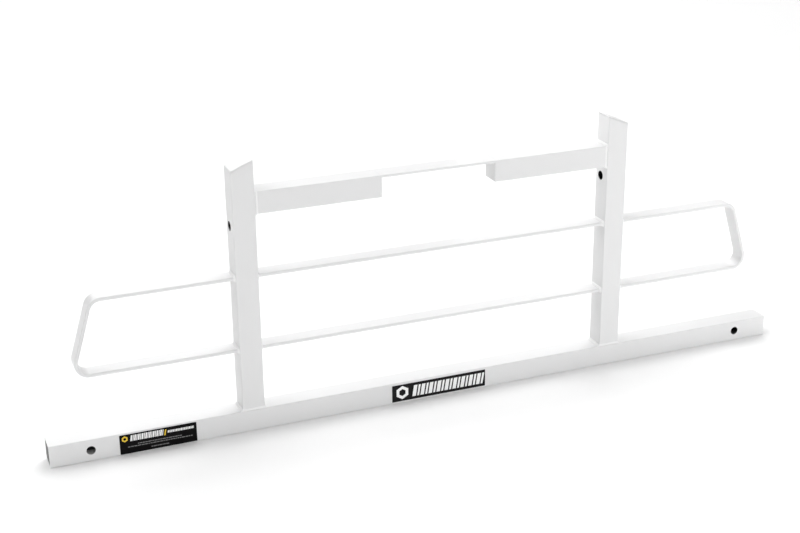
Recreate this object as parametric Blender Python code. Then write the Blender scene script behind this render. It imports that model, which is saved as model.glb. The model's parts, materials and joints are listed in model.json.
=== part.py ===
"""Short steel headache rack for a pickup truck: a welded frame of square tube and flat bar.

Metres, +Z up. X runs along the base rail, -Y is the rack's front and +Y is its back. The
origin is at the middle of the base rail's underside, where the rack stands on the truck bed.
"""
import math

import bpy
from mathutils import Vector

# Stock that the rack is cut from
TUBE = 0.0508                 # outer width of the square tube
WALL = 0.002                  # wall of the square tube
TUBE_RADIUS = 0.0022          # outer corner radius of the square tube
BORE_RADIUS = 0.0005          # inner corner radius
BAR_THICKNESS = 0.008         # flat bar of the rungs and wing loops
BAR_WIDTH = 0.040
BAR_EDGE_RADIUS = 0.0025
CAP_PLATE = 0.003             # closes an upright's angled top
CAP_BEVEL = 0.0006
END_PLATE = 0.004             # closes a top rail tube beside the light gap
BRIDGE_THICKNESS = 0.006
BRIDGE_EDGE_RADIUS = 0.0015

# Layout of the frame
RAIL_LENGTH = 1.800
UPRIGHT_X = 0.4483            # from the middle to an upright's centre line
UPRIGHT_INNER_TOP = 0.6260    # height of the angled top on its inner side
UPRIGHT_OUTER_TOP = 0.6057
TOP_RAIL_TOP = 0.5558
LIGHT_GAP = 0.2692            # gap in the top rail for the truck's third brake light
RUNG_HEIGHTS = {"upper": 0.3641, "lower": 0.1959}
WING_REACH = {"upper": 0.7828, "lower": 0.8343}   # where a loop's centre lines would cross
WING_BEND_RADIUS = 0.028      # to the middle of the bar

# Holes
BOLT_HOLE_DIAMETER = 0.0198
BOLT_HOLE_X = 0.8115          # from the middle to each bolt hole in the base rail
CROSS_HOLE_DIAMETER = 0.0215
CROSS_HOLE_HEIGHT = 0.477
CROSS_HOLE_Y = 0.004

# Plastic plugs pressed into the base rail's ends
PLUG_RECESS = 0.0005          # from the rail's cut end to the plug's face
PLUG_DEPTH = 0.016
PLUG_RIB = 0.0005
PLUG_SKIN = 0.002
PLUG_BEVEL = 0.0008

# Welds
BAR_WELD_LEG = 0.004
TUBE_WELD_LEG = 0.0045
BRIDGE_WELD_LEG = 0.004
WELD_TIP = 0.0003             # thickness of a fillet's thin edge
FLUSH_BEAD_RISE = 0.0006      # where two tube faces lie in one plane, the bead stands this proud
FLUSH_BEAD_START = -0.0022    # from the lying tube's side, along the standing tube
FLUSH_BEAD_END = 0.0062

# Labels: middle x, length, bottom and top
LABELS = {
    "centre": (-0.001, 0.236, 0.0038, 0.0455),
    "left": (-0.665, 0.170, 0.0016, 0.0474),
}
LABEL_THICKNESS = 0.0004

GAP = 0.0003                  # between solids that touch on the real rack
HALF = TUBE / 2
INNER_FACE_X = UPRIGHT_X - HALF
OUTER_FACE_X = UPRIGHT_X + HALF
SIDES = {"left": -1, "right": 1}

CORNER_STEPS = 4
HOLE_STEPS = 32
BEND_STEPS = 10

WHITE_COAT = ("white_powder_coat", (0.86, 0.86, 0.87), 0.38, 0.0)
BLACK_PLASTIC = ("black_plastic", (0.03, 0.03, 0.032), 0.5, 0.0)
BLACK_LABEL = ("black_label", (0.015, 0.015, 0.016), 0.35, 0.0)


# ---------------------------------------------------------------- helpers

def clear_scene():
    for item in list(bpy.data.objects):
        bpy.data.objects.remove(item, do_unlink=True)


def material(finish):
    name, colour, roughness, metallic = finish
    made = bpy.data.materials.get(name)
    if made is None:
        made = bpy.data.materials.new(name)
        made.use_nodes = True
        shader = made.node_tree.nodes["Principled BSDF"]
        shader.inputs["Base Color"].default_value = (*colour, 1.0)
        shader.inputs["Roughness"].default_value = roughness
        shader.inputs["Metallic"].default_value = metallic
    return made


def add_object(name, vertices, faces, finish=None):
    mesh = bpy.data.meshes.new(name)
    mesh.from_pydata([tuple(v) for v in vertices], [], faces)
    mesh.update()
    mesh.shade_smooth()
    mesh.set_sharp_from_angle(angle=math.radians(35))
    made = bpy.data.objects.new(name, mesh)
    bpy.context.scene.collection.objects.link(made)
    if finish is not None:
        mesh.materials.append(material(finish))
    return made


def rounded_rectangle(width, height, radius, steps=CORNER_STEPS):
    """Corner arcs of a rectangle centred on the origin, counter-clockwise, as (a, b) pairs."""
    points = []
    for quarter in range(4):
        side_a = 1 if quarter in (0, 3) else -1
        side_b = 1 if quarter in (0, 1) else -1
        for step in range(steps + 1):
            angle = math.radians(90 * (quarter + step / steps))
            points.append((side_a * (width / 2 - radius) + radius * math.cos(angle),
                           side_b * (height / 2 - radius) + radius * math.sin(angle)))
    return points


def loft(name, rings, finish, closed_loop=False):
    """Skin rings of equal length. A closed loop joins the last ring to the first."""
    size = len(rings[0])
    vertices = [point for ring in rings for point in ring]
    faces = []
    joins = len(rings) if closed_loop else len(rings) - 1
    for ring in range(joins):
        start = ring * size
        after = (ring + 1) % len(rings) * size
        for step in range(size):
            turn = (step + 1) % size
            faces.append((start + step, start + turn, after + turn, after + step))
    if not closed_loop:
        faces.append(tuple(reversed(range(size))))
        faces.append(tuple(range((len(rings) - 1) * size, len(rings) * size)))
    return add_object(name, vertices, faces, finish)


def square(width, radius, place):
    """Ring of a square tube's section, its points put in space by place(a, b)."""
    return [Vector(place(a, b)) for a, b in rounded_rectangle(width, width, radius)]


def square_tube(name, place_start, place_end):
    """Open square tube between two section planes."""
    outside = [square(TUBE, TUBE_RADIUS, place) for place in (place_start, place_end)]
    bore = TUBE - 2 * WALL
    inside = [square(bore, BORE_RADIUS, place) for place in (place_end, place_start)]
    return loft(name, outside + inside, WHITE_COAT, closed_loop=True)


def cutter(name, rings):
    made = loft(name, rings, None)
    made.hide_render = True
    made.display_type = "WIRE"
    return made


def cut(target, tool):
    modifier = target.modifiers.new(tool.name, "BOOLEAN")
    modifier.operation = "DIFFERENCE"
    modifier.solver = "EXACT"
    modifier.object = tool


def drill(target, name, diameter, start, end):
    """Cut a round hole through target, from start to end."""
    start = Vector(start)
    axis = (Vector(end) - start).normalized()
    side = axis.orthogonal().normalized()
    other = axis.cross(side)
    rings = []
    for centre in (start, Vector(end)):
        ring = []
        for step in range(HOLE_STEPS):
            angle = 2 * math.pi * step / HOLE_STEPS
            offset = side * math.cos(angle) + other * math.sin(angle)
            ring.append(centre + offset * diameter / 2)
        rings.append(ring)
    cut(target, cutter(name, rings))


# ---------------------------------------------------------------- base rail

def base_section(x):
    """Section of the base rail at x, counter-clockwise seen from +X."""
    return lambda a, b: (x, a, HALF + b)


def make_base_rail():
    end = RAIL_LENGTH / 2
    rail = square_tube("base_rail", base_section(-end), base_section(end))
    for side, sign in SIDES.items():
        x = sign * BOLT_HOLE_X
        start, end = (x, -TUBE, HALF), (x, TUBE, HALF)
        drill(rail, f"bolt_hole_{side}", BOLT_HOLE_DIAMETER, start, end)


def make_base_end_caps():
    """Hollow plugs just inside the rail's ends: a flat face, and a ribbed skirt behind it."""
    neck = TUBE - 2 * (WALL + GAP)
    skirt = neck - 2 * PLUG_RIB
    hollow = skirt - 2 * PLUG_SKIN
    rib_pitch = (PLUG_DEPTH - PLUG_SKIN) / 6
    for side, sign in SIDES.items():

        def section(depth, width, sign=sign):
            place = base_section(sign * (RAIL_LENGTH / 2 - PLUG_RECESS - depth))
            return square(width, BORE_RADIUS, place)

        rings = [
            section(0, neck - 2 * PLUG_BEVEL),
            section(PLUG_BEVEL, neck),
            section(PLUG_SKIN, neck),
            section(PLUG_SKIN, skirt),
        ]
        for rib in range(3):
            foot = PLUG_SKIN + rib_pitch * (2 * rib + 1)
            rings.append(section(foot, skirt))
            rings.append(section(foot + rib_pitch * 0.2, neck))
            rings.append(section(foot + rib_pitch, skirt))
        rings.append(section(PLUG_DEPTH, hollow))
        rings.append(section(PLUG_SKIN * 2, hollow))
        if sign > 0:
            rings.reverse()
        loft(f"base_end_cap_{side}", rings, BLACK_PLASTIC)


# ---------------------------------------------------------------- uprights

def top_height(x):
    """Height of the angled top over a point x from the rack's middle."""
    slope = (UPRIGHT_OUTER_TOP - UPRIGHT_INNER_TOP) / TUBE
    return UPRIGHT_INNER_TOP + slope * (abs(x) - INNER_FACE_X)


def make_uprights():
    for side, sign in SIDES.items():
        centre = sign * UPRIGHT_X

        def foot(a, b, centre=centre):
            return (centre + a, b, TUBE + GAP)

        def below_top(drop, centre=centre):
            return lambda a, b: (centre + a, b, top_height(centre + a) - drop)

        upright = square_tube(f"upright_{side}", foot, below_top(CAP_PLATE + GAP))
        drill(
            upright,
            f"cross_hole_{side}",
            CROSS_HOLE_DIAMETER,
            (centre - TUBE, CROSS_HOLE_Y, CROSS_HOLE_HEIGHT),
            (centre + TUBE, CROSS_HOLE_Y, CROSS_HOLE_HEIGHT),
        )
        rings = [
            square(TUBE, TUBE_RADIUS, below_top(CAP_PLATE)),
            square(TUBE, TUBE_RADIUS, below_top(CAP_BEVEL)),
            square(TUBE - 2 * CAP_BEVEL, TUBE_RADIUS - CAP_BEVEL, below_top(0)),
        ]
        loft(f"upright_cap_{side}", rings, WHITE_COAT)


# ---------------------------------------------------------------- top rail

def top_rail_section(x):
    return lambda a, b: (x, a, TOP_RAIL_TOP - HALF + b)


def make_top_rail():
    gap_side = LIGHT_GAP / 2
    for side, sign in SIDES.items():
        near = sign * (gap_side + END_PLATE + GAP)
        far = sign * (INNER_FACE_X - GAP)
        start, end = sorted((near, far))
        square_tube(f"top_rail_{side}", top_rail_section(start), top_rail_section(end))

        start, end = sorted((sign * (gap_side + GAP), sign * (gap_side + END_PLATE)))
        rings = [square(TUBE, TUBE_RADIUS, top_rail_section(x)) for x in (start, end)]
        loft(f"top_rail_end_plate_{side}", rings, WHITE_COAT)

    outline = rounded_rectangle(TUBE, BRIDGE_THICKNESS, BRIDGE_EDGE_RADIUS, steps=2)
    middle = TOP_RAIL_TOP - BRIDGE_THICKNESS / 2
    rings = [[Vector((x, a, middle + b)) for a, b in outline] for x in (-gap_side, gap_side)]
    loft("light_gap_bridge", rings, WHITE_COAT)


# ---------------------------------------------------------------- flat bars

def bar_ring(point, tangent, grow=0.0):
    """Section of the flat bar, wide along Y, at a point of a path in the XZ plane."""
    across = Vector((tangent.z, 0, -tangent.x))
    outline = rounded_rectangle(
        BAR_THICKNESS + 2 * grow,
        BAR_WIDTH + 2 * grow,
        BAR_EDGE_RADIUS + grow,
        steps=3,
    )
    return [point + across * a + Vector((0, b, 0)) for a, b in outline]


def make_rungs():
    end = INNER_FACE_X - GAP
    for level, height in RUNG_HEIGHTS.items():
        tangent = Vector((1, 0, 0))
        rings = [bar_ring(Vector((x, 0, height)), tangent) for x in (-end, end)]
        loft(f"rung_{level}", rings, WHITE_COAT)


def rounded_corner(before, corner, after):
    """Points and tangents of the arc that rounds a corner of the bar's centre line."""
    arriving = (corner - before).normalized()
    leaving = (after - corner).normalized()
    turn = arriving.angle(leaving)
    trim = WING_BEND_RADIUS * math.tan(turn / 2)
    start = corner - arriving * trim
    inward = (leaving - arriving * arriving.dot(leaving)).normalized()
    centre = start + inward * WING_BEND_RADIUS
    arc = []
    for step in range(BEND_STEPS + 1):
        angle = turn * step / BEND_STEPS
        point = centre - inward * WING_BEND_RADIUS * math.cos(angle)
        point += arriving * WING_BEND_RADIUS * math.sin(angle)
        arc.append((point, arriving * math.cos(angle) + inward * math.sin(angle)))
    return arc


def make_wing_loops():
    for side, sign in SIDES.items():
        root_x = sign * (OUTER_FACE_X + GAP)
        corners = [
            Vector((root_x, 0, RUNG_HEIGHTS["upper"])),
            Vector((sign * WING_REACH["upper"], 0, RUNG_HEIGHTS["upper"])),
            Vector((sign * WING_REACH["lower"], 0, RUNG_HEIGHTS["lower"])),
            Vector((root_x, 0, RUNG_HEIGHTS["lower"])),
        ]
        outward = Vector((sign, 0, 0))
        path = [(corners[0], outward)]
        path += rounded_corner(corners[0], corners[1], corners[2])
        path += rounded_corner(corners[1], corners[2], corners[3])
        path.append((corners[3], -outward))
        rings = [bar_ring(point, tangent) for point, tangent in path]
        loft(f"wing_loop_{side}", rings, WHITE_COAT)


# ---------------------------------------------------------------- welds

def bar_weld(name, face_x, direction, height):
    """Fillet all round a bar's end, on an upright's side face that looks along direction."""
    tangent = Vector((direction, 0, 0))

    def ring(distance, grow):
        point = Vector((face_x + direction * distance, 0, height))
        return bar_ring(point, tangent, grow)

    rings = [
        ring(GAP, GAP),
        ring(GAP, BAR_WELD_LEG),
        ring(BAR_WELD_LEG * 0.45, BAR_WELD_LEG * 0.45),
        ring(BAR_WELD_LEG, GAP + WELD_TIP),
        ring(BAR_WELD_LEG, GAP),
    ]
    loft(name, rings, WHITE_COAT, closed_loop=True)


def make_bar_welds():
    for side, sign in SIDES.items():
        for level, height in RUNG_HEIGHTS.items():
            bar_weld(f"weld_rung_{level}_{side}", sign * INNER_FACE_X, -sign, height)
            bar_weld(f"weld_wing_{level}_{side}", sign * OUTER_FACE_X, sign, height)


def tube_weld(name, position, turn):
    """Weld where a tube's end stands on the side of another tube of the same width.

    In its own axes the standing tube runs up +Z and the other along X, its side at Z = 0. The
    weld is a fillet on the two sides along Y. At the front and back, where the tubes' faces lie
    in one plane, it fills the groove over the lying tube's round corner and stands just proud.
    """
    def level(height, reach_x, reach_y):
        return [Vector((x * reach_x, y * reach_y, height)) for x, y in (
            (-1, -1), (1, -1), (1, 1), (-1, 1),
        )]

    face = HALF + GAP
    proud = face + FLUSH_BEAD_RISE
    collar = loft(name, [
        level(FLUSH_BEAD_START, HALF + TUBE_WELD_LEG * 0.8, face + WELD_TIP / 2),
        level(FLUSH_BEAD_START / 4, HALF + TUBE_WELD_LEG, proud),
        level(GAP, HALF + TUBE_WELD_LEG, proud),
        level(TUBE_WELD_LEG * 0.45, HALF + TUBE_WELD_LEG * 0.45, proud),
        level(TUBE_WELD_LEG, face + WELD_TIP, face + FLUSH_BEAD_RISE / 2),
        level(FLUSH_BEAD_END, HALF - TUBE_RADIUS, face + WELD_TIP / 2),
    ], WHITE_COAT)
    clear_width = TUBE + 2 * GAP
    clear_radius = TUBE_RADIUS + GAP
    standing = cutter(f"{name}_standing_tube", [
        square(clear_width, clear_radius, lambda a, b, z=z: (a, b, z)) for z in (0, TUBE)
    ])
    lying = cutter(f"{name}_lying_tube", [
        square(clear_width, clear_radius, lambda a, b, x=x: (x, a, b - HALF)) for x in (-TUBE, TUBE)
    ])
    for tool in (standing, lying):
        tool.parent = collar
        cut(collar, tool)
    collar.location = position
    collar.rotation_euler = (0, turn, 0)


def make_tube_welds():
    for side, sign in SIDES.items():
        tube_weld(f"weld_foot_{side}", (sign * UPRIGHT_X, 0, TUBE), 0)
        rail_middle = TOP_RAIL_TOP - HALF
        position = (sign * INNER_FACE_X, 0, rail_middle)
        tube_weld(f"weld_top_rail_{side}", position, math.radians(-90 * sign))


def make_bridge_welds():
    """A fillet under each end of the bridge, against the end plate."""
    underside = TOP_RAIL_TOP - BRIDGE_THICKNESS - GAP
    reach = HALF - TUBE_RADIUS
    for side, sign in SIDES.items():
        face = sign * (LIGHT_GAP / 2)
        section = [
            (face, underside),
            (face - sign * BRIDGE_WELD_LEG, underside),
            (face - sign * BRIDGE_WELD_LEG * 0.45, underside - BRIDGE_WELD_LEG * 0.45),
            (face, underside - BRIDGE_WELD_LEG),
        ]
        rings = [[Vector((x, y, z)) for x, z in section] for y in (-reach, reach)]
        if sign > 0:
            rings.reverse()
        loft(f"weld_bridge_{side}", rings, WHITE_COAT)


# ---------------------------------------------------------------- labels

def rail_front(height, lift):
    """Point over the base rail's front at a height, lifted off its flat face or round corner."""
    level = min(max(height, TUBE_RADIUS), TUBE - TUBE_RADIUS)
    rise = (height - level) / TUBE_RADIUS
    outward = Vector((0, -math.sqrt(1 - rise * rise), rise))
    return Vector((0, -HALF + TUBE_RADIUS, level)) + outward * (TUBE_RADIUS + lift)


def label_heights(bottom, top):
    """A film's edges, and steps round any of the rail's corners that it reaches."""
    low, high = TUBE_RADIUS, TUBE - TUBE_RADIUS
    heights = {bottom, top}
    for edge, bend in ((bottom, low), (top, high)):
        if edge < low or edge > high:
            heights |= {edge + (bend - edge) * step / 4 for step in (1, 2, 3, 4)}
    return sorted(heights)


def make_labels():
    for name, (middle, length, bottom, top) in LABELS.items():
        heights = label_heights(bottom, top)
        outline = [rail_front(height, GAP) for height in heights]
        outline += [rail_front(height, GAP + LABEL_THICKNESS) for height in reversed(heights)]
        ends = (middle - length / 2, middle + length / 2)
        rings = [[Vector((x, point.y, point.z)) for point in outline] for x in ends]
        loft(f"label_{name}", rings, BLACK_LABEL)


def main():
    clear_scene()
    make_base_rail()
    make_base_end_caps()
    make_uprights()
    make_top_rail()
    make_rungs()
    make_wing_loops()
    make_bar_welds()
    make_tube_welds()
    make_bridge_welds()
    make_labels()


main()
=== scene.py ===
"""Looks of the headache rack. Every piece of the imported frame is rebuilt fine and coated.

Metres, in the frame's own axes: X along the base rail, -Y the front, +Z up. Sizes and places
come from the frame's boxes and its record; the constants below only add the small detail.
"""
import json
import math
import random
from collections import namedtuple

import bmesh
import bpy
from mathutils import Matrix, Vector, noise


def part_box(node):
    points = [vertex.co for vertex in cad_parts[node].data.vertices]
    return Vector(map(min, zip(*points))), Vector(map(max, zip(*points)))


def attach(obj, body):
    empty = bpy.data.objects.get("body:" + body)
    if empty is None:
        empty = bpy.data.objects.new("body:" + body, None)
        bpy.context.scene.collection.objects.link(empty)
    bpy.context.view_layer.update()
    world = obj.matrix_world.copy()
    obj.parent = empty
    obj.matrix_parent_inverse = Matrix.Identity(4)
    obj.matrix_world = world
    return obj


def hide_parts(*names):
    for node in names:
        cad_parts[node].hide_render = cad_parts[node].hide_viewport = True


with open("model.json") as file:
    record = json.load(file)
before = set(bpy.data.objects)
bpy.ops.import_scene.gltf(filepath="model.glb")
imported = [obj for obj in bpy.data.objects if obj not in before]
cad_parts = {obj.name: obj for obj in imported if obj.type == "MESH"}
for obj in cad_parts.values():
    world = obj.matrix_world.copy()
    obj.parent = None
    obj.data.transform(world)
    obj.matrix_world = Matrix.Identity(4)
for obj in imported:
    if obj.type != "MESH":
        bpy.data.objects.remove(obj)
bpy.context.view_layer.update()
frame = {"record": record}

# Stock, which the boxes don't show
WALL = 0.002                  # wall of the square tube
TUBE_RADIUS = 0.0022          # outer corner radius of the square tube
BORE_RADIUS = 0.0005          # inner corner radius
BAR_RADIUS = 0.0025           # edge radius of the flat bar
BRIDGE_RADIUS = 0.0015
WING_BEND_RADIUS = 0.028      # to the middle of the bar
CAP_PLATE = 0.003             # closes an upright's angled top
END_PLATE = 0.004             # closes a top rail tube beside the light gap
BOLT_HOLE_DIAMETER = 0.0198
CROSS_HOLE_DIAMETER = 0.0215

# End plugs, with depths measured in from the outer face
PLUG_CLEARANCE = 0.0004       # between the plug and the bore, both sides together
PLUG_FACE = 0.002             # where the rim ends and the ribbed skirt starts
PLUG_CROWN = 0.00035          # how far the crowned face falls from its middle to its rim
PLUG_RIM = 0.0008             # radius of the rim
PLUG_RIBS = 3
PLUG_RIB_SPACES = 3.4         # the skirt's length in rib pitches
PLUG_RIB_RAMP = 0.0006
PLUG_RIB_LENGTH = 0.0030
PLUG_RIB_HEIGHT = 0.0005
PLUG_SKIRT = 0.0025           # from the ribs' crests to the hollow inside
PLUG_FLOOR = 0.004            # where the hollow ends, seen from the open end

# Fineness of the meshes
CORNER_STEPS = 8
SUPPORT = 0.0007              # flat strip kept beside each round corner
END_STRIP = 0.002             # flat strip kept beside the ends of tubes, bends and the bridge
BAR_END_STRIP = 0.01          # the same for the flat bars
BEND_STEPS = 28
HOLE_STEPS = 72
CUTTER_START = 0.004          # how far outside the metal a hole's cutter starts
SHARP_ANGLE = math.radians(38)
FULL_EDGE_ANGLE = math.radians(9)     # a fold this sharp counts fully as an edge

# Coated detail
SEAM = 0.00025                # chamfer on each side of a ground seam
SEAM_GAP = 0.0003             # crack left open between a closing plate and its tube
ROLLED_RIM = 0.0005           # round edge that the coat leaves on a drilled hole
CAP_EDGE = 0.0022             # round edge of an upright's cap
END_PLATE_EDGE = 0.0036       # ground edge of a top rail end plate
MOUTH = 0.004                 # how far the coat reaches into a tube's open end
PEEL_SIZE = 0.0022            # width of the orange peel's waves

# Welds: a leg is a bead's width on one surface, a rise its height over the chord
BAR_LEG = 0.0040
BAR_RISE = 0.0006
TUBE_LEG = 0.0045
TUBE_RISE = 0.0007
FLUSH_LEG = 0.0062            # up a standing tube, where it is flush with the other tube
FOOT_SKEW = 0.7               # where the crest lies on a flush stretch of bead
TOP_RAIL_SKEW = 2.4
BRIDGE_LEG = 0.0036
BRIDGE_RISE = 0.0005
BEAD_STEP = 0.0006            # between sections along a bead
BEAD_POINTS = 12              # over a bead, from toe to toe
BEAD_ROOT_DEPTH = 0.0016      # how far a bead's hidden root lies inside the metal
BEAD_MARGIN = 0.0008          # how far beads stop short of a lying tube's front and back
WALK_CORNER_STEPS = 10
RIPPLE_PITCH = 0.0027
RIPPLE_HEIGHT = 0.00016
TOE_DEPTH = 0.00012           # how far a bead's edges sink into the metal

# Labels
VINYL = 0.0003
INK = 0.00004
LABEL_CORNER = 0.0012
# Marks, in fractions of a label's length, apart from the stripes' pitch and slant
STRIPE_PAIR = ((0.0, 0.44), (0.60, 0.84))     # the wide and the narrow stripe within a pitch
STRIPE_SLANT = 0.16           # sideways run over height
DASH_LENGTHS = (0.012, 0.045)
DASH_GAP = 0.007
DASH_STOP = 0.01              # no dash starts nearer than this to the end of its line

SIDES = {"left": -1, "right": 1}      # the sign of X on each side


# ---------------------------------------------------------------- node materials

def add_node(tree, kind, inputs=None, **properties):
    """New node with its properties set and its inputs set or linked."""
    node = tree.nodes.new(kind)
    for key, value in properties.items():
        setattr(node, key, value)
    for key, value in (inputs or {}).items():
        if isinstance(value, bpy.types.NodeSocket):
            tree.links.new(value, node.inputs[key])
        else:
            node.inputs[key].default_value = value
    return node


def new_material(name, **uniform):
    """Material, its tree, its shader and object coordinates, which are metres in the frame."""
    made = bpy.data.materials.new(name)
    made.use_nodes = True
    tree = made.node_tree
    shader = tree.nodes["Principled BSDF"]
    for socket, value in uniform.items():
        shader.inputs[socket.replace("_", " ")].default_value = value
    place = add_node(tree, "ShaderNodeTexCoord").outputs["Object"]
    return made, tree, shader, place


def noise_at(tree, place, size, detail=2.0, roughness=0.5):
    """Noise whose grains are about size metres across."""
    settings = {"Vector": place, "Scale": 1 / size, "Detail": detail, "Roughness": roughness}
    return add_node(tree, "ShaderNodeTexNoise", settings).outputs["Fac"]


def rescale(tree, value, low, high, new_low, new_high):
    """The range from low to high, spread or squeezed to the new one and held inside it."""
    settings = {
        "Value": value,
        "From Min": low,
        "From Max": high,
        "To Min": new_low,
        "To Max": new_high,
    }
    return add_node(tree, "ShaderNodeMapRange", settings).outputs["Result"]


def maths(tree, operation, first, second):
    return add_node(tree, "ShaderNodeMath", {0: first, 1: second}, operation=operation).outputs[0]


def blend_colours(tree, factor, first, second):
    """The first colour where the factor is 0 and the second where it is 1."""
    node = add_node(tree, "ShaderNodeMix", data_type="RGBA")
    sockets = (node.inputs[0], node.inputs[6], node.inputs[7])
    for socket, value in zip(sockets, (factor, first, second)):
        if isinstance(value, bpy.types.NodeSocket):
            tree.links.new(value, socket)
        else:
            socket.default_value = value if isinstance(value, float) else (*value, 1.0)
    return node.outputs[2]


def bump(tree, height, depth, below=None):
    """Bump of the given depth in metres, on top of another bump."""
    settings = {"Height": height, "Distance": depth, "Strength": 1.0}
    if below is not None:
        settings["Normal"] = below
    return add_node(tree, "ShaderNodeBump", settings).outputs["Normal"]


def powder_coat(name, colour, peel_depth):
    """Powder coat: orange peel, faint clouding, dust nibs, and a thinner film on the edges."""
    made, tree, shader, place = new_material(name)
    edge = add_node(tree, "ShaderNodeAttribute", attribute_name="edge").outputs["Fac"]
    clouds = noise_at(tree, place, 0.11, detail=3.0)
    mottle = noise_at(tree, place, 0.006, detail=4.0, roughness=0.6)
    scratches = noise_at(tree, place, 0.0016, detail=5.0, roughness=0.7)
    scuffs = rescale(tree, scratches, 0.56, 0.66, 0.0, 1.0)
    worn = maths(tree, "MULTIPLY", maths(tree, "MULTIPLY", edge, scuffs), 0.35)
    wide_shade = maths(tree, "MULTIPLY", clouds, 0.7)
    shade = maths(tree, "ADD", wide_shade, maths(tree, "MULTIPLY", mottle, 0.3))
    bright = tuple(channel * 1.012 for channel in colour)
    dull = tuple(channel * tint for channel, tint in zip(colour, (0.972, 0.974, 0.970)))
    film = blend_colours(tree, shade, dull, bright)
    primer = tuple(channel * 0.86 for channel in colour)
    tree.links.new(blend_colours(tree, worn, film, primer), shader.inputs["Base Color"])
    gloss = rescale(tree, mottle, 0.3, 0.7, 0.30, 0.39)
    dulled = maths(tree, "ADD", gloss, maths(tree, "MULTIPLY", edge, 0.05))
    tree.links.new(dulled, shader.inputs["Roughness"])
    nib_cells = add_node(tree, "ShaderNodeTexVoronoi", {"Vector": place, "Scale": 1 / 0.012})
    nibs = rescale(tree, nib_cells.outputs["Distance"], 0.0, 0.035, 1.0, 0.0)
    peel = bump(tree, noise_at(tree, place, PEEL_SIZE, detail=1.0), peel_depth)
    grain = bump(tree, noise_at(tree, place, 0.0004), 0.000003, below=peel)
    tree.links.new(bump(tree, nibs, 0.00006, below=grain), shader.inputs["Normal"])
    return made


def bare_steel():
    """Inside of the tubes: mill scale, with painted light on the faces that look up (the bore's
    floor), in patches.
    """
    made, tree, shader, place = new_material("tube_inside", Metallic=0.25)
    blotches = noise_at(tree, place, 0.018, detail=5.0, roughness=0.65)
    scale_colour = blend_colours(tree, rescale(tree, blotches, 0.35, 0.65, 0.0, 1.0),
                                 (0.012, 0.012, 0.013), (0.035, 0.035, 0.037))
    facing = add_node(tree, "ShaderNodeTexCoord").outputs["Normal"]
    upward = add_node(tree, "ShaderNodeSeparateXYZ", {"Vector": facing}).outputs["Z"]
    # Painted light: faces that look up, the bore's floor, are painted pale in patches, as if lit
    # from above.
    painted_floor_light = maths(tree, "MULTIPLY", rescale(tree, upward, 0.3, 0.8, 0.0, 0.9),
                   rescale(tree, blotches, 0.3, 0.6, 0.7, 1.0))
    tree.links.new(blend_colours(tree, painted_floor_light, scale_colour, (0.70, 0.70, 0.70)),
                   shader.inputs["Base Color"])
    tree.links.new(rescale(tree, blotches, 0.3, 0.7, 0.55, 0.8), shader.inputs["Roughness"])
    flakes = noise_at(tree, place, 0.0012, detail=3.0)
    tree.links.new(bump(tree, flakes, 0.00004), shader.inputs["Normal"])
    return made


def moulded_plastic():
    """Black end plugs with a fine spark-eroded texture."""
    made, tree, shader, place = new_material("black_moulded_plastic")
    patches = noise_at(tree, place, 0.008, detail=3.0)
    tree.links.new(blend_colours(tree, patches, (0.018, 0.018, 0.019), (0.032, 0.032, 0.033)),
                   shader.inputs["Base Color"])
    tree.links.new(rescale(tree, patches, 0.3, 0.7, 0.42, 0.55), shader.inputs["Roughness"])
    texture = noise_at(tree, place, 0.0005, detail=3.0, roughness=0.7)
    tree.links.new(bump(tree, texture, 0.00003), shader.inputs["Normal"])
    return made


def vinyl(name, sheen):
    """Black printed film, which shows the coat's orange peel through it."""
    made, tree, shader, place = new_material(name, Specular_IOR_Level=sheen)
    patches = noise_at(tree, place, 0.02, detail=2.0)
    tree.links.new(blend_colours(tree, patches, (0.0040, 0.0038, 0.0042), (0.0075, 0.0068, 0.0072)),
                   shader.inputs["Base Color"])
    tree.links.new(rescale(tree, patches, 0.3, 0.7, 0.30, 0.42), shader.inputs["Roughness"])
    peel = bump(tree, noise_at(tree, place, PEEL_SIZE, detail=1.0), 0.00002)
    laminate = noise_at(tree, place, 0.0003, detail=2.0)
    tree.links.new(bump(tree, laminate, 0.000004, below=peel), shader.inputs["Normal"])
    return made


def ink(name, colour, coverage=0.94):
    """Screen-printed ink: slightly uneven cover over the film, with a fine grain."""
    made, tree, shader, place = new_material(name)
    cover = noise_at(tree, place, 0.0018, detail=4.0, roughness=0.6)
    thin = tuple(channel * coverage for channel in colour)
    tree.links.new(blend_colours(tree, cover, thin, colour), shader.inputs["Base Color"])
    tree.links.new(rescale(tree, cover, 0.3, 0.7, 0.42, 0.55), shader.inputs["Roughness"])
    tree.links.new(bump(tree, noise_at(tree, place, 0.0004), 0.000005), shader.inputs["Normal"])
    return made


COAT = powder_coat("white_powder_coat", (0.785, 0.785, 0.788), peel_depth=0.00003)
# The beads wear the same white coat as the rest. Their paler colour is painted light, a painted
# highlight on the beads.
PAINTED_LIGHT_WELD_COAT = powder_coat("weld_coat_painted_light", (0.90, 0.90, 0.903), peel_depth=0.00005)
STEEL_INSIDE = bare_steel()
PLASTIC = moulded_plastic()
FILMS = {"centre": vinyl("satin_vinyl", 0.15), "left": vinyl("dull_vinyl", 0.04)}
WHITE_INK = ink("white_ink", (0.97, 0.97, 0.965), coverage=0.97)
YELLOW_INK = ink("yellow_ink", (0.88, 0.60, 0.03))
GREY_INK = ink("grey_ink", (0.20, 0.20, 0.20))


# ---------------------------------------------------------------- mesh helpers

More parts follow.
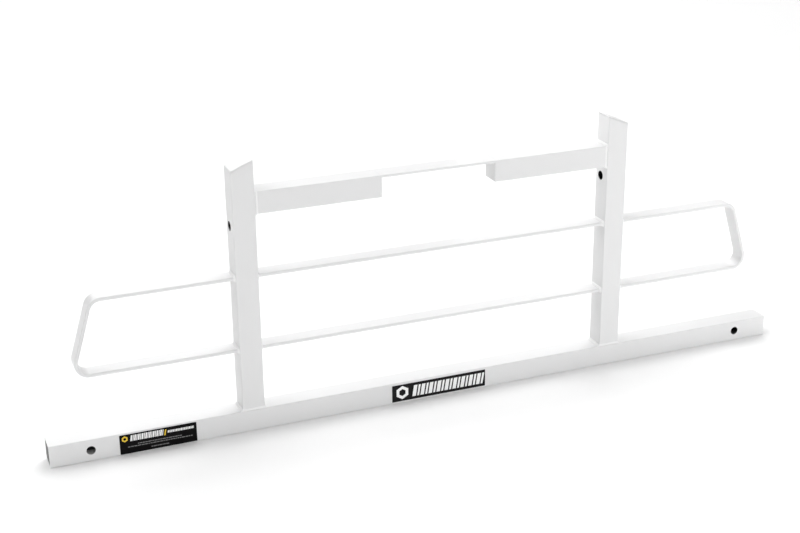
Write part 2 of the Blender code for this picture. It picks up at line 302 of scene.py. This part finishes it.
def finish_mesh(piece):
    """Apply the piece's modifiers, shade it smooth with crisp folds, and mark its round edges."""
    graph = bpy.context.evaluated_depsgraph_get()
    applied = bpy.data.meshes.new_from_object(piece.evaluated_get(graph))
    piece.modifiers.clear()
    piece.data = applied
    bm = bmesh.new()
    bm.from_mesh(applied)
    layer = bm.verts.layers.float.new("edge")
    for fold in bm.edges:
        turn = min(1.0, fold.calc_face_angle(0.0) / FULL_EDGE_ANGLE)
        for vertex in fold.verts:
            vertex[layer] = max(vertex[layer], turn)
    bm.to_mesh(applied)
    bm.free()
    applied.shade_smooth()
    applied.set_sharp_from_angle(angle=SHARP_ANGLE)
    weighted = piece.modifiers.new("even_normals", "WEIGHTED_NORMAL")
    weighted.keep_sharp = True
    weighted.weight = 90


def mesh_object(name, vertices, faces, materials):
    """Linked object with its normals turned outward."""
    mesh = bpy.data.meshes.new(name)
    mesh.from_pydata([tuple(v) for v in vertices], [], faces)
    bm = bmesh.new()
    bm.from_mesh(mesh)
    bmesh.ops.recalc_face_normals(bm, faces=bm.faces)
    bm.to_mesh(mesh)
    bm.free()
    for finish in materials:
        mesh.materials.append(finish)
    made = bpy.data.objects.new(name, mesh)
    bpy.context.scene.collection.objects.link(made)
    return made


def loft(name, rings, materials, closed=False):
    """Skin rings of equal length: an open run gets end faces, a closed one joins up."""
    size = len(rings[0])
    vertices = [point for ring in rings for point in ring]
    faces = []
    for ring in range(len(rings) if closed else len(rings) - 1):
        start = ring * size
        after = (ring + 1) % len(rings) * size
        for step in range(size):
            turn = (step + 1) % size
            faces.append((start + step, start + turn, after + turn, after + step))
    if not closed:
        faces.append(tuple(range(size)))
        faces.append(tuple(range((len(rings) - 1) * size, len(rings) * size)))
    return mesh_object(name, vertices, faces, materials)


def corner_points(width, height, radius, steps=CORNER_STEPS, support=SUPPORT):
    """Rounded rectangle, counter-clockwise, as (point, outward direction) pairs.

    Beside each corner arc a point keeps the flat side flat.
    """
    points = []
    for quarter in range(4):
        middle = (
            (1 if quarter in (0, 3) else -1) * (width / 2 - radius),
            (1 if quarter in (0, 1) else -1) * (height / 2 - radius),
        )
        for step in range(-1, steps + 2):
            inside = min(max(step, 0), steps)
            angle = math.radians(90 * (quarter + inside / steps))
            outward = (math.cos(angle), math.sin(angle))
            along = support * (step - inside)
            points.append((
                (
                    middle[0] + radius * outward[0] - along * outward[1],
                    middle[1] + radius * outward[1] + along * outward[0],
                ),
                outward,
            ))
    return points


def section(width, height, radius, place, inset=0.0):
    """Ring of a rounded rectangle, shrunk by inset, put in space by place(a, b)."""
    outline = corner_points(width - 2 * inset, height - 2 * inset, max(radius - inset, 0.0002))
    return [Vector(place(a, b)) for (a, b), _ in outline]


def at_depth(place, depth):
    """Turn place(a, b, depth) into place(a, b) at one depth."""
    return lambda a, b: place(a, b, depth)


def round_over(radius, steps=4):
    """Pairs of (inset, depth) from a piece's end face round to its side."""
    pairs = []
    for step in range(steps + 1):
        angle = math.radians(90 * step / steps)
        pairs.append((radius * (1 - math.sin(angle)), radius * (1 - math.cos(angle))))
    return pairs


def show(piece, node):
    """The piece stands for its CAD node, and the node is hidden."""
    finish_mesh(piece)
    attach(piece, "root")
    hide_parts(node)


# ---------------------------------------------------------------- sizes and places

Box = namedtuple("Box", "low high middle size")


def box_of(node):
    low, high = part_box(node)
    return Box(low, high, (low + high) / 2, high - low)


def inner_x(box):
    """X of the side that faces the middle of the rack."""
    return min(box.low.x, box.high.x, key=abs)


def outer_x(box):
    """X of the side that faces away from the middle of the rack."""
    return max(box.low.x, box.high.x, key=abs)


def opening_middle(name):
    """Middle of one of the record's openings."""
    found = next(o for o in frame["record"]["physics"]["openings"] if o["name"] == name)
    low, high = found["box_m"]
    return (Vector(low) + Vector(high)) / 2


def mount_named(name):
    """Place and direction of one of the record's mounts."""
    found = next(m for m in frame["record"]["mounts"] if m["name"] == name)
    return Vector(found["pos_m"]), Vector(found["axis"])


BASE = box_of("base_rail")
TUBE = BASE.size.z
HALF = TUBE / 2
BAR_WIDTH = box_of("rung_upper").size.y
BAR_THICKNESS = box_of("rung_upper").size.z
# The wing loops' bars leave the uprights at the rungs' heights
RUNG_HEIGHTS = {level: box_of(f"rung_{level}").middle.z for level in ("upper", "lower")}


# ---------------------------------------------------------------- square tube

def tube(name, start, end):
    """Tube between two ends, each a place(a, b, depth) with depth measured into the tube."""
    bore = TUBE - 2 * WALL
    rings = []
    for place, inset, depth in (
        (start, SEAM, 0), (start, 0, SEAM), (start, 0, END_STRIP),
        (end, 0, END_STRIP), (end, 0, SEAM), (end, SEAM, 0),
    ):
        rings.append(section(TUBE, TUBE, TUBE_RADIUS, at_depth(place, depth), inset))
    uncoated = len(rings) + 1
    for place, depth in ((end, 0), (end, MOUTH), (start, MOUTH), (start, 0)):
        rings.append(section(bore, bore, BORE_RADIUS, at_depth(place, depth)))
    piece = loft(name, rings, [COAT, STEEL_INSIDE], closed=True)
    size = len(rings[0])
    for number, face in enumerate(piece.data.polygons):
        face.material_index = 1 if number // size == uncoated else 0
    return piece


def hole_cutter(diameter, start, end):
    """Rod that flares at both ends, with bare steel on its middle and coat on the flares."""
    axis = (end - start).normalized()
    length = (end - start).length
    side = axis.orthogonal().normalized()
    other = axis.cross(side)
    rim = diameter / 2 + ROLLED_RIM
    profile = [(-CUTTER_START, rim)]
    for inset, depth in reversed(round_over(ROLLED_RIM, 6)):
        profile.append((inset, rim - depth))
    profile += [(length - along, radius) for along, radius in reversed(profile)]
    rings = []
    for along, radius in profile:
        rings.append([
            start + axis * along + radius * (
                side * math.cos(2 * math.pi * step / HOLE_STEPS)
                + other * math.sin(2 * math.pi * step / HOLE_STEPS)
            )
            for step in range(HOLE_STEPS)
        ])
    cutter = loft("cutter", rings, [COAT, STEEL_INSIDE])
    bare = len(profile) // 2 - 1
    for number, face in enumerate(cutter.data.polygons):
        face.material_index = 1 if number // HOLE_STEPS == bare else 0
    return cutter


def drill(piece, diameter, start, end):
    """Cut a round hole from one outer face to the other.

    The coat rolls over the rims and stops there, so the drilled walls are bare.
    """
    cutter = hole_cutter(diameter, start, end)
    cut = piece.modifiers.new("hole", "BOOLEAN")
    cut.operation = "DIFFERENCE"
    cut.solver = "EXACT"
    cut.object = cutter
    graph = bpy.context.evaluated_depsgraph_get()
    piece.data = bpy.data.meshes.new_from_object(piece.evaluated_get(graph))
    piece.modifiers.clear()
    bpy.data.objects.remove(cutter, do_unlink=True)


def make_base_rail():
    """Tube on the floor, with a bolt hole through it near each end."""
    rail = tube(
        "base_rail_tube",
        lambda a, b, depth: (BASE.low.x + depth, a, HALF + b),
        lambda a, b, depth: (BASE.high.x - depth, a, HALF + b),
    )
    for side in SIDES:
        hole = opening_middle(f"bolt_hole_{side}")
        front = Vector((hole.x, -HALF, hole.z))
        back = Vector((hole.x, HALF, hole.z))
        drill(rail, BOLT_HOLE_DIAMETER, front, back)
    show(rail, "base_rail")


def make_base_end_cap(side):
    """Plug with a crowned face, a round rim and grip ribs on a hollow skirt."""
    sign = SIDES[side]
    node = f"base_end_cap_{side}"
    outer = outer_x(box_of(node))
    depth = box_of(node).size.x
    width = TUBE - 2 * WALL - PLUG_CLEARANCE
    rib_pitch = (depth - PLUG_FACE) / PLUG_RIB_SPACES

    def ring(inset, into):
        return section(
            width, width, BORE_RADIUS, lambda a, b: (outer - sign * into, a, HALF + b), inset,
        )

    rings = [ring(0.014, 0.0), ring(0.006, 0.00005), ring(0.0016, 0.00025)]
    rings += [ring(inset, PLUG_CROWN + into) for inset, into in round_over(PLUG_RIM, 5)]
    rings += [ring(0.0, PLUG_FACE), ring(PLUG_RIB_HEIGHT, PLUG_FACE)]
    for rib in range(PLUG_RIBS):
        foot = PLUG_FACE + rib_pitch * (rib + 0.3)
        rings += [
            ring(PLUG_RIB_HEIGHT, foot),
            ring(0.0, foot + PLUG_RIB_RAMP),
            ring(PLUG_RIB_HEIGHT, foot + PLUG_RIB_LENGTH),
        ]
    rings += [ring(0.0009, depth), ring(PLUG_SKIRT, depth), ring(PLUG_SKIRT, PLUG_FLOOR)]
    show(loft(f"{node}_plug", rings, [PLASTIC]), node)


# ---------------------------------------------------------------- uprights and top rail

def closing_plate(name, node, thickness, edge, place):
    """Plate over a tube's end, from its rounded face to its seam, as place(a, b, depth)."""
    levels = [(edge * 2, 0.0)] + round_over(edge, 6) + [(0.0, thickness - SEAM), (SEAM, thickness)]
    rings = [
        section(TUBE, TUBE, TUBE_RADIUS, at_depth(place, depth), inset)
        for inset, depth in levels
    ]
    show(loft(name, rings, [COAT]), node)


def make_upright(side):
    """Upright whose top, with its cap, falls from the inner side to the outer."""
    upright = box_of(f"upright_{side}")
    cap = box_of(f"upright_cap_{side}")
    inner_top = cap.high.z
    outer_top = cap.low.z + CAP_PLATE
    slope = (outer_top - inner_top) / TUBE

    def on_foot(a, b, depth):
        return (upright.middle.x + a, b, TUBE + depth)

    def under_top(a, b, depth):
        x = upright.middle.x + a
        top = inner_top + slope * (abs(x) - abs(inner_x(upright)))
        return (x, b, top - depth)

    def under_cap(a, b, depth):
        return under_top(a, b, CAP_PLATE + SEAM_GAP + depth)

    piece = tube(f"upright_{side}_tube", on_foot, under_cap)
    hole = opening_middle(f"cross_hole_{side}")
    start = Vector((upright.low.x, hole.y, hole.z))
    end = Vector((upright.high.x, hole.y, hole.z))
    drill(piece, CROSS_HOLE_DIAMETER, start, end)
    show(piece, f"upright_{side}")
    closing_plate(
        f"upright_{side}_plate", f"upright_cap_{side}", CAP_PLATE, CAP_EDGE, under_top,
    )


def make_top_rail(side):
    """Tube from an upright to the light gap, with a plate over the end at the gap."""
    sign = SIDES[side]
    height = box_of(f"top_rail_{side}").middle.z
    root = inner_x(box_of(f"upright_{side}"))
    gap_face = inner_x(box_of(f"top_rail_end_plate_{side}"))
    seam = gap_face + sign * END_PLATE
    piece = tube(
        f"top_rail_{side}_tube",
        lambda a, b, depth: (seam + sign * depth, a, height + b),
        lambda a, b, depth: (root - sign * depth, a, height + b),
    )
    show(piece, f"top_rail_{side}")
    closing_plate(
        f"top_rail_{side}_plate", f"top_rail_end_plate_{side}", END_PLATE, END_PLATE_EDGE,
        lambda a, b, depth: (gap_face + sign * depth, a, height + b),
    )


# ---------------------------------------------------------------- flat bar

def make_light_gap_bridge():
    """Flat bar, whose ends run under the ground edges of the two end plates."""
    bridge = box_of("light_gap_bridge")
    reach = bridge.high.x + END_PLATE_EDGE

    def across_gap(a, b, x):
        return (x, a, bridge.middle.z + b)

    rings = [
        section(TUBE, bridge.size.z, BRIDGE_RADIUS, at_depth(across_gap, x))
        for x in (-reach, -reach + END_STRIP, reach - END_STRIP, reach)
    ]
    show(loft("light_gap_bridge_bar", rings, [COAT]), "light_gap_bridge")


def bar_section(point, tangent):
    """Section of the flat bar, wide along Y, at a point of a path in the XZ plane."""
    across = Vector((tangent.z, 0, -tangent.x))
    return section(
        BAR_THICKNESS, BAR_WIDTH, BAR_RADIUS,
        lambda a, b: point + across * a + Vector((0, b, 0)),
    )


def make_rung(level):
    """Straight bar from one upright's inner side to the other's."""
    reach = inner_x(box_of("upright_right"))
    path = [-reach, -reach + BAR_END_STRIP, reach - BAR_END_STRIP, reach]
    rings = [bar_section(Vector((x, 0, RUNG_HEIGHTS[level])), Vector((1, 0, 0))) for x in path]
    show(loft(f"rung_{level}_bar", rings, [COAT]), f"rung_{level}")


def bend(before, corner, after):
    """Points and tangents round a corner of the bar's centre line."""
    arriving = (corner - before).normalized()
    leaving = (after - corner).normalized()
    turn = arriving.angle(leaving)
    start = corner - arriving * WING_BEND_RADIUS * math.tan(turn / 2)
    inward = (leaving - arriving * arriving.dot(leaving)).normalized()
    centre = start + inward * WING_BEND_RADIUS
    arc = [(start - arriving * END_STRIP, arriving)]
    for step in range(BEND_STEPS + 1):
        angle = turn * step / BEND_STEPS
        point = centre + WING_BEND_RADIUS * (arriving * math.sin(angle) - inward * math.cos(angle))
        arc.append((point, arriving * math.cos(angle) + inward * math.sin(angle)))
    arc.append((arc[-1][0] + leaving * END_STRIP, leaving))
    return arc


def make_wing_loop(side):
    """One bent bar. Its slanted leg lies behind the record's tie bar face."""
    face, outward = mount_named(f"tie_bar_{side}")
    leg = face - outward * BAR_THICKNESS / 2
    corners = [
        Vector((leg.x - (height - leg.z) * outward.z / outward.x, 0, height))
        for height in RUNG_HEIGHTS.values()
    ]
    root_x = outer_x(box_of(f"upright_{side}"))
    roots = [Vector((root_x, 0, height)) for height in RUNG_HEIGHTS.values()]
    away = Vector((SIDES[side], 0, 0))
    path = [(roots[0], away), (roots[0] + away * BAR_END_STRIP, away)]
    path += bend(roots[0], corners[0], corners[1])
    path += bend(corners[0], corners[1], roots[1])
    path += [(roots[1] + away * BAR_END_STRIP, -away), (roots[1], -away)]
    rings = [bar_section(point, tangent) for point, tangent in path]
    show(loft(f"wing_loop_{side}_bar", rings, [COAT]), f"wing_loop_{side}")


# ---------------------------------------------------------------- welds

def walk_round(width, height, radius):
    """Even steps round a rounded rectangle, and its length.

    Each step is a (point, outward direction, distance along).
    """
    outline = corner_points(width, height, radius, steps=WALK_CORNER_STEPS, support=0.0)
    steps = []
    distance = 0.0
    for number, (point, outward) in enumerate(outline):
        after, outward_after = outline[(number + 1) % len(outline)]
        length = math.dist(point, after)
        count = max(1, round(length / BEAD_STEP)) if length > 1e-7 else 0
        for step in range(count):
            share = step / count
            mixed = Vector((*outward, 0)).lerp(Vector((*outward_after, 0)), share)
            spot = Vector((*point, 0)).lerp(Vector((*after, 0)), share)
            steps.append((spot, mixed.normalized(), distance + length * share))
        distance += length
    return steps, distance


def ripple(along, across, seed):
    """Height of the frozen ripples, whose crescents trail behind the middle of the bead."""
    wander = noise.noise(Vector((along * 90, seed, 0.0))) * 0.6
    phase = along / RIPPLE_PITCH + wander - 0.55 * math.sin(math.pi * across)
    crest = (0.5 - 0.5 * math.cos(2 * math.pi * phase)) ** 0.7
    return crest * math.sin(math.pi * across) ** 0.5


def bead_section(root, toe_out, toe_up, crown, rise, along, seed, skew=1.0):
    """Section of a bead from the toe on one surface to the toe on the other, closed inside.

    A skew over 1 moves the crest towards toe_up, and one under 1 towards toe_out.
    """
    points = []
    for step in range(BEAD_POINTS + 1):
        share = step / BEAD_POINTS
        low = (1 - share) ** 1.3
        high = share ** 1.3
        point = root + (toe_out - root) * low + (toe_up - root) * high
        swell = rise * math.sin(math.pi * share ** skew) ** 1.6
        swell += RIPPLE_HEIGHT * ripple(along, share, seed)
        swell -= TOE_DEPTH * (1 - math.sin(math.pi * share))
        points.append(point + crown * swell)
    points.append(root - crown * BEAD_ROOT_DEPTH)
    return points


def drop_of_lying_tube(y):
    """How far the lying tube's round corner has fallen below its flat side at y."""
    past = abs(y) - (HALF - TUBE_RADIUS)
    if past <= 0:
        return 0.0
    return TUBE_RADIUS - math.sqrt(max(TUBE_RADIUS ** 2 - past ** 2, 0.0))


def joint_bead(name, node, width, height, radius, leg, rise, place, seed, flush_skew=1.0):
    """Bead all round a tube or bar that stands on the flat side of a square tube.

    In its own axes the standing piece runs up +Z and the tube along X, its side at Z = 0.
    place is the matrix that puts it in the frame. Where the standing tube's face and the other
    tube's lie in one plane, the bead runs from the round corner to FLUSH_LEG up the face.
    """
    reach_y = HALF - BEAD_MARGIN
    steps, length = walk_round(width, height, radius)
    rings = []
    for spot, outward, along in steps:
        turn = 2 * math.pi * along / length
        wave = Vector((math.cos(turn), math.sin(turn), seed)) * 2.3
        vary = 1 + 0.10 * noise.noise(wave) + 0.05 * noise.noise(wave * 4)
        out = spot + outward * leg * vary
        out.y = max(-reach_y, min(reach_y, out.y))
        out.z = -drop_of_lying_tube(out.y)
        lean = max(0.0, (out - spot).dot(outward)) / leg
        flush = 1 - min(1.0, lean)
        up = spot + Vector((0, 0, (leg + (FLUSH_LEG - leg) * flush) * vary))
        crown = (outward + Vector((0, 0, lean))).normalized()
        skew = 1 + (flush_skew - 1) * flush
        rings.append(bead_section(spot, out, up, crown, rise * vary, along, seed, skew))
    rings = [[place @ point for point in ring] for ring in rings]
    show(loft(name, rings, [PAINTED_LIGHT_WELD_COAT], closed=True), node)


def make_bar_beads():
    """Beads where the rungs meet an upright's inner side, and the loops its outer side."""
    seed = 1
    for side, sign in SIDES.items():
        upright = box_of(f"upright_{side}")
        faces = {
            "rung": (inner_x(upright), -sign),
            "wing": (outer_x(upright), sign),
        }
        for level, height in RUNG_HEIGHTS.items():
            for kind, (face_x, direction) in faces.items():
                place = Matrix.Translation((face_x, 0, height))
                place @= Matrix.Rotation(math.radians(90 * direction), 4, "Y")
                name = f"weld_{kind}_{level}_{side}"
                joint_bead(
                    f"{name}_bead", name, BAR_THICKNESS, BAR_WIDTH, BAR_RADIUS,
                    BAR_LEG, BAR_RISE, place, seed,
                )
                seed += 1


def make_tube_beads():
    """Beads at the uprights' feet, and where the top rail tubes meet the uprights."""
    seed = 21
    for side, sign in SIDES.items():
        upright = box_of(f"upright_{side}")
        foot = Matrix.Translation((upright.middle.x, 0, TUBE))
        rail_height = box_of(f"top_rail_{side}").middle.z
        rail = Matrix.Translation((inner_x(upright), 0, rail_height))
        rail @= Matrix.Rotation(math.radians(-90 * sign), 4, "Y")
        for name, place, skew in (
            (f"weld_foot_{side}", foot, FOOT_SKEW),
            (f"weld_top_rail_{side}", rail, TOP_RAIL_SKEW),
        ):
            joint_bead(
                f"{name}_bead", name, TUBE, TUBE, TUBE_RADIUS,
                TUBE_LEG, TUBE_RISE, place, seed, skew,
            )
            seed += 1


def make_bridge_beads():
    """A fillet under each end of the bridge, thinning out at its own ends."""
    bridge = box_of("light_gap_bridge")
    reach = HALF - TUBE_RADIUS
    count = round(2 * reach / BEAD_STEP)
    for number, (side, sign) in enumerate(SIDES.items()):
        crown = Vector((-sign, 0, -1)).normalized()
        rings = []
        for step in range(count + 1):
            y = -reach + 2 * reach * step / count
            taper = max(0.05, 1 - (abs(y) / reach) ** 8)
            leg = BRIDGE_LEG * taper * (1 + 0.08 * noise.noise(Vector((y * 120, number, 0))))
            root = Vector((sign * bridge.high.x, y, bridge.low.z))
            rings.append(bead_section(
                root, root - Vector((0, 0, leg)), root - Vector((sign * leg, 0, 0)),
                crown, BRIDGE_RISE * taper, y, 31 + number,
            ))
        name = f"weld_bridge_{side}"
        show(loft(f"{name}_bead", rings, [PAINTED_LIGHT_WELD_COAT]), name)


# ---------------------------------------------------------------- labels

def slabs(name, outlines, back_y, front_y, finish):
    """Flat shapes in the XZ plane, each given the same thickness along Y."""
    vertices = []
    faces = []
    for outline in outlines:
        start = len(vertices)
        size = len(outline)
        vertices += [(x, y, z) for y in (back_y, front_y) for x, z in outline]
        faces.append(tuple(range(start, start + size)))
        faces.append(tuple(range(start + size, start + 2 * size)))
        for step in range(size):
            turn = (step + 1) % size
            faces.append((start + step, start + turn, start + size + turn, start + size + step))
    return mesh_object(name, vertices, faces, [finish])


def rail_front(height, lift):
    """Point over the base rail's front at a height, lifted off its flat face or round corner."""
    level = min(max(height, TUBE_RADIUS), TUBE - TUBE_RADIUS)
    rise = (height - level) / TUBE_RADIUS
    outward = Vector((0, -math.sqrt(1 - rise * rise), rise))
    return Vector((0, BASE.low.y + TUBE_RADIUS, level)) + outward * (TUBE_RADIUS + lift)


class Label:
    """One sticker, whose marks are placed by fractions of its length and height."""

    def __init__(self, name):
        self.name = name
        self.box = box_of(f"label_{name}")
        self.face = BASE.low.y - VINYL

    def at(self, u, v):
        """X and Z of the point at fractions of the label's length and height."""
        return (self.box.low.x + u * self.box.size.x, self.box.low.z + v * self.box.size.z)

    def make_film(self):
        """Film with round corners, laid over the rail's front and its round edges."""
        edge_steps = [LABEL_CORNER * (1 - math.cos(math.radians(15 * step))) for step in range(7)]
        levels = [(self.box.low.z + step, step) for step in edge_steps]
        levels += [(self.box.high.z - step, step) for step in reversed(edge_steps)]
        rings = []
        for height, step in levels:
            inset = LABEL_CORNER - math.sqrt(LABEL_CORNER ** 2 - (LABEL_CORNER - step) ** 2)
            back = rail_front(height, 0.0)
            front = rail_front(height, VINYL)
            left = self.box.low.x + inset
            right = self.box.high.x - inset
            rings.append([
                Vector((left, back.y, back.z)),
                Vector((right, back.y, back.z)),
                Vector((right - VINYL / 3, front.y, front.z)),
                Vector((left + VINYL / 3, front.y, front.z)),
            ])
        piece = loft(f"label_{self.name}_film", rings, [FILMS[self.name]])
        show(piece, f"label_{self.name}")

    def print_marks(self, kind, outlines, finish):
        """Thin layer of ink, bedded a little in the film."""
        piece = slabs(
            f"label_{self.name}_{kind}", outlines, self.face + INK / 2, self.face - INK, finish,
        )
        finish_mesh(piece)
        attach(piece, "root")

    def stripes(self, left, right, bottom, top, count):
        """Row of slanted stripes, a wide and a narrow one by turns."""
        pitch = (right - left) / count
        lean = STRIPE_SLANT * (top - bottom) * self.box.size.z / self.box.size.x
        outlines = []
        for number in range(count):
            for start, end in STRIPE_PAIR:
                a = left + pitch * (number + start)
                b = left + pitch * (number + end)
                outlines.append([
                    self.at(a, bottom),
                    self.at(b, bottom),
                    self.at(b + lean, top),
                    self.at(a + lean, top),
                ])
        return outlines

    def dashes(self, left, right, bottom, top, seed):
        """Line of short plain dashes of uneven length."""
        draw = random.Random(seed)
        outlines = []
        u = left
        while u < right - DASH_STOP:
            end = min(right, u + draw.uniform(*DASH_LENGTHS))
            outlines.append([
                self.at(u, bottom),
                self.at(end, bottom),
                self.at(end, top),
                self.at(u, top),
            ])
            u = end + DASH_GAP
        return outlines

    def hexagon(self, u, v, radius, bore):
        """Hexagonal ring, as six bars."""
        x, z = self.at(u, v)
        corners = [
            (math.cos(math.radians(60 * step + 30)), math.sin(math.radians(60 * step + 30)))
            for step in range(7)
        ]
        return [
            [
                (x + radius * a[0], z + radius * a[1]),
                (x + radius * b[0], z + radius * b[1]),
                (x + bore * b[0], z + bore * b[1]),
                (x + bore * a[0], z + bore * a[1]),
            ]
            for a, b in zip(corners, corners[1:])
        ]


def make_centre_label():
    """A ring and a row of stripes."""
    label = Label("centre")
    label.make_film()
    marks = label.hexagon(0.108, 0.515, 0.0168, 0.0088)
    marks += label.stripes(0.212, 0.985, 0.17, 0.83, count=9)
    label.print_marks("marks", marks, WHITE_INK)


def make_left_label():
    """A yellow ring and slash, two rows of stripes, and three lines of fine dashes."""
    label = Label("left")
    label.make_film()
    label.print_marks("marks", label.stripes(0.135, 0.565, 0.625, 0.925, count=9), WHITE_INK)
    small = label.stripes(0.620, 0.965, 0.705, 0.83, count=10)
    label.print_marks("small_marks", small, WHITE_INK)
    accents = label.hexagon(0.068, 0.775, 0.0072, 0.0036)
    slash = ((0.573, 0.60), (0.590, 0.60), (0.606, 0.90), (0.589, 0.90))
    accents.append([label.at(u, v) for u, v in slash])
    label.print_marks("accents", accents, YELLOW_INK)
    fine = label.dashes(0.23, 0.80, 0.425, 0.47, seed=3)
    fine += label.dashes(0.10, 0.94, 0.315, 0.36, seed=5)
    fine += label.dashes(0.40, 0.63, 0.13, 0.18, seed=8)
    label.print_marks("fine_lines", fine, GREY_INK)


# ---------------------------------------------------------------- studio

CAMERA_PLACE = (-1.19863, -2.79906, 1.48403)
CAMERA_AZIMUTH = math.radians(-21.678)
CAMERA_DOWN = math.radians(21.010)
CAMERA_ROLL = math.radians(-0.6215)
CAMERA_LENS = 64.43           # mm, as is the sensor's width
CAMERA_SENSOR = 36.0


def make_camera():
    data = bpy.data.cameras.new("camera")
    data.sensor_width = CAMERA_SENSOR
    data.lens = CAMERA_LENS
    data.clip_end = 100.0
    data.dof.use_dof = False
    camera = bpy.data.objects.new("camera", data)
    bpy.context.scene.collection.objects.link(camera)
    forward = Vector((
        -math.sin(CAMERA_AZIMUTH) * math.cos(CAMERA_DOWN),
        math.cos(CAMERA_AZIMUTH) * math.cos(CAMERA_DOWN),
        -math.sin(CAMERA_DOWN),
    ))
    level = Vector((math.cos(CAMERA_AZIMUTH), math.sin(CAMERA_AZIMUTH), 0))
    upward = level.cross(forward)
    right = level * math.cos(CAMERA_ROLL) + upward * math.sin(CAMERA_ROLL)
    up = upward * math.cos(CAMERA_ROLL) - level * math.sin(CAMERA_ROLL)
    turn = Matrix((right, up, -forward)).transposed()
    camera.matrix_world = Matrix.Translation(CAMERA_PLACE) @ turn.to_4x4()
    bpy.context.scene.camera = camera


FLOOR_REACH = 60.0
FLOOR_THICKNESS = 0.05
FLOOR_DROP = 0.0002           # keeps the floor clear of the base rail's underside


def floor_paint():
    return new_material(
        "floor_paint",
        Base_Color=(0.98, 0.98, 0.98, 1),
        Roughness=0.75,
        Specular_IOR_Level=0.1,
    )[0]


def make_floor():
    corners = [
        (x * FLOOR_REACH, y * FLOOR_REACH)
        for x, y in ((-1, -1), (1, -1), (1, 1), (-1, 1))
    ]
    floor = slabs("floor", [corners], 0.0, FLOOR_THICKNESS, floor_paint())
    floor.rotation_euler = (math.radians(-90), 0, 0)
    floor.location = (0, 0, -FLOOR_DROP)


# Large soft lights: azimuth in degrees from +X towards +Y, height in degrees, strength
SOFT_WIDTH = math.radians(40)
SOFT_LIGHTS = {
    "behind": (90, 35, 0.82),
    "behind_left": (135, 50, 0.75),
    "behind_right": (45, 50, 1.07),
    "left": (180, 50, 0.96),
    "front": (270, 20, 1.19),
}

# Panels: place, point aimed at, power in watts, width in metres. The small one between the
# uprights lightens the right upright's inner side, and the backdrop one whitens the far floor.
PANELS = {
    "panel_above": ((0.0, 0.3, 2.4), (0.0, 0.0, 0.2), 10.4, 1.6),
    "panel_behind_right": ((1.6, 1.6, 1.9), (0.3, 0.0, 0.2), 9.5, 1.5),
    "panel_front_right": ((1.7, -1.3, 0.55), (0.6, 0.0, 0.15), 5.1, 0.9),
    "panel_between": ((0.17, 0.21, 0.55), (0.42, 0.0, 0.51), 0.17, 0.1),
    "panel_backdrop": ((1.2, 4.4, 2.6), (1.2, 4.4, 0.0), 14.0, 3.4),
}
BACKDROP_STRENGTH = 1.0


def make_world():
    """Plain white past the floor. It shows to the camera only: the lamps give all the light."""
    world = bpy.data.worlds.new("studio")
    bpy.context.scene.world = world
    world.use_nodes = True
    tree = world.node_tree
    seen = add_node(tree, "ShaderNodeLightPath").outputs["Is Camera Ray"]
    strength = maths(tree, "MULTIPLY", seen, BACKDROP_STRENGTH)
    tree.links.new(strength, tree.nodes["Background"].inputs["Strength"])
    tree.nodes["Background"].inputs["Color"].default_value = (1, 1, 1, 1)


def add_lamp(name, data, away):
    """Lamp that shines the opposite way to the direction given."""
    lamp = bpy.data.objects.new(name, data)
    bpy.context.scene.collection.objects.link(lamp)
    lamp.rotation_euler = away.to_track_quat("Z", "Y").to_euler()
    return lamp


def make_lights():
    for name, (azimuth, height, strength) in SOFT_LIGHTS.items():
        sun = bpy.data.lights.new(name, "SUN")
        sun.energy = strength
        sun.angle = SOFT_WIDTH
        turn = math.radians(azimuth)
        rise = math.radians(height)
        add_lamp(name, sun, Vector((
            math.cos(turn) * math.cos(rise),
            math.sin(turn) * math.cos(rise),
            math.sin(rise),
        )))
    for name, (place, aim, power, width) in PANELS.items():
        panel = bpy.data.lights.new(name, "AREA")
        panel.shape = "SQUARE"
        panel.size = width
        panel.energy = power
        add_lamp(name, panel, Vector(place) - Vector(aim)).location = place


# ---------------------------------------------------------------- the scene

make_base_rail()
for rack_side in SIDES:
    make_base_end_cap(rack_side)
for rack_side in SIDES:
    make_upright(rack_side)
for rack_side in SIDES:
    make_top_rail(rack_side)
make_light_gap_bridge()
for rung_level in RUNG_HEIGHTS:
    make_rung(rung_level)
for rack_side in SIDES:
    make_wing_loop(rack_side)
make_bar_beads()
make_tube_beads()
make_bridge_beads()
make_centre_label()
make_left_label()
make_camera()
make_floor()
make_world()
make_lights()
bpy.context.scene.view_settings.view_transform = "Standard"
